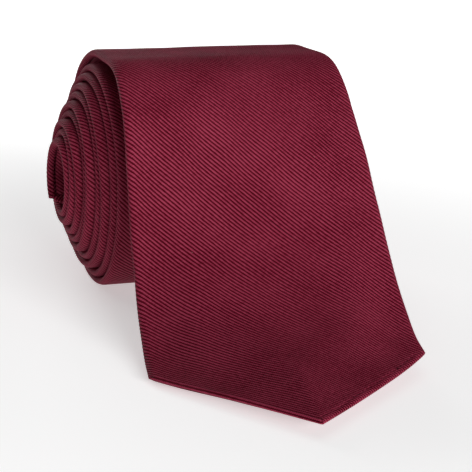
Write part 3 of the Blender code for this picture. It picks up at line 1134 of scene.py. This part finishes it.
def joining_seam(name, node, place):
    """The fine ridge of thread where two pieces of silk meet along a rib."""
    shell = Shell()
    table = np.arange(place - SEAM_SEARCH, place + SEAM_SEARCH, TABLE_STEP)
    along, across, out = [], [], []
    for kind, side, share in face_columns(7, 40):
        crossing = rib_crossing(table, column(kind, side, share, table)[2])
        here = np.interp(seam_rib(place), crossing, table)
        a, o, _ = line_points(kind, side, share, np.array([here]), np.array([-SEAM_SUNK]), 0.0)
        along.append(here)
        across.append(a[0])
        out.append(o[0])
    strand(shell, np.array(along), np.array(across), np.array(out), SEAM_RADIUS)
    thing = show(shell, name, THREAD)
    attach(thing, "roll")
    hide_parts(node)


blade_front()
blade_slope()
blade_turns()
inner_turns("silk_neck", "neck_silk", BLADE_NECK_SEAM, NECK_TAIL_SEAM)
inner_turns("silk_tail", "tail_silk", NECK_TAIL_SEAM, LENGTH)
interlining()
tippings()
keeper()
label()
stitching()
bar_tack("bar_tack_blade", "blade_bar_tack", SEAM_START, ride_blade)
bar_tack("bar_tack_tail", "tail_bar_tack", LENGTH - TAIL_SEAM_START - TAIL_TACK_SHIFT, ride_roll)
joining_seam("seam_blade_to_neck", "blade_neck_seam", BLADE_NECK_SEAM)
joining_seam("seam_neck_to_tail", "neck_tail_seam", NECK_TAIL_SEAM)


# Setting ------------------------------------------------------------------------------------

FLOOR_REACH = 4.0
GLOW_NEAR, GLOW_FAR = 0.08, 0.32
GLOW_LEAST, GLOW_MOST = 0.47, 0.82
LIT_POINT = Vector((0, 0, 0.03))


def floor():
    """A pale floor that glows more away from the object, as the white ground of a photo studio."""
    made = bpy.data.meshes.new("floor")
    reach = FLOOR_REACH
    made.from_pydata(
        [(-reach, -reach, 0), (reach, -reach, 0), (reach, reach, 0), (-reach, reach, 0)], [], [(0, 1, 2, 3)]
    )
    thing = bpy.data.objects.new("floor", made)
    bpy.context.scene.collection.objects.link(thing)
    paint = bpy.data.materials.new("pale_floor")
    paint.use_nodes = True
    shader = paint.node_tree.nodes["Principled BSDF"]
    shader.inputs["Base Color"].default_value = (0.90, 0.90, 0.90, 1)
    shader.inputs["Emission Color"].default_value = (1, 1, 1, 1)
    tree = paint.node_tree
    place = tree.nodes.new("ShaderNodeNewGeometry")
    away = tree.nodes.new("ShaderNodeVectorMath")
    away.operation = "LENGTH"
    tree.links.new(place.outputs["Position"], away.inputs[0])
    glow = tree.nodes.new("ShaderNodeMapRange")
    glow.interpolation_type = "SMOOTHSTEP"
    set_range(glow, GLOW_NEAR, GLOW_FAR, GLOW_LEAST, GLOW_MOST)
    tree.links.new(away.outputs["Value"], glow.inputs["Value"])
    tree.links.new(glow.outputs["Result"], shader.inputs["Emission Strength"])
    shader.inputs["Roughness"].default_value = 0.9
    shader.inputs["Specular IOR Level"].default_value = 0.1
    made.materials.append(paint)


def lamp(name, place, size, power):
    """A soft light that faces the object. place is in metres, size its width and height."""
    light = bpy.data.lights.new(name, "AREA")
    light.shape = "RECTANGLE"
    light.size, light.size_y = size
    light.energy = power
    thing = bpy.data.objects.new(name, light)
    bpy.context.scene.collection.objects.link(thing)
    thing.location = place
    thing.rotation_euler = (LIT_POINT - Vector(place)).to_track_quat("-Z", "Y").to_euler()


def lights():
    """Three soft lights and a faint white surround."""
    lamp("front_softbox", (0.22, -1.05, 0.31), (0.7, 0.4), 10.6)
    lamp("top_softbox", (0.1, 0.10, 1.3), (1.2, 1.2), 1.8)
    lamp("back_softbox", (-0.2, 1.1, 0.45), (0.9, 0.5), 5.0)
    world = bpy.data.worlds.new("studio")
    world.use_nodes = True
    surround = world.node_tree.nodes["Background"]
    surround.inputs["Color"].default_value = (1, 1, 1, 1)
    surround.inputs["Strength"].default_value = 0.06
    bpy.context.scene.world = world


def camera():
    """A long lens a little to the left and above, level to within a few degrees."""
    lens = bpy.data.cameras.new("camera")
    lens.lens = LENS_MM
    lens.sensor_width = 36.0
    lens.clip_start = 0.01
    thing = bpy.data.objects.new("camera", lens)
    bpy.context.scene.collection.objects.link(thing)
    bpy.context.scene.camera = thing
    yaw, pitch, roll = (math.radians(a) for a in (CAMERA_YAW, CAMERA_PITCH, CAMERA_ROLL))
    forward = Vector((math.sin(yaw) * math.cos(pitch), math.cos(yaw) * math.cos(pitch), -math.sin(pitch)))
    level = Vector((math.cos(yaw), -math.sin(yaw), 0))
    upright = level.cross(forward)
    right = level * math.cos(roll) + upright * math.sin(roll)
    up = right.cross(forward)
    place = Vector(CAMERA_TARGET) + Vector(SHIFT) - forward * CAMERA_DISTANCE
    axes = Matrix((right, up, -forward)).transposed().to_4x4()
    thing.matrix_world = Matrix.Translation(place) @ axes


floor()
lights()
camera()
bpy.context.scene.view_settings.view_transform = "Standard"
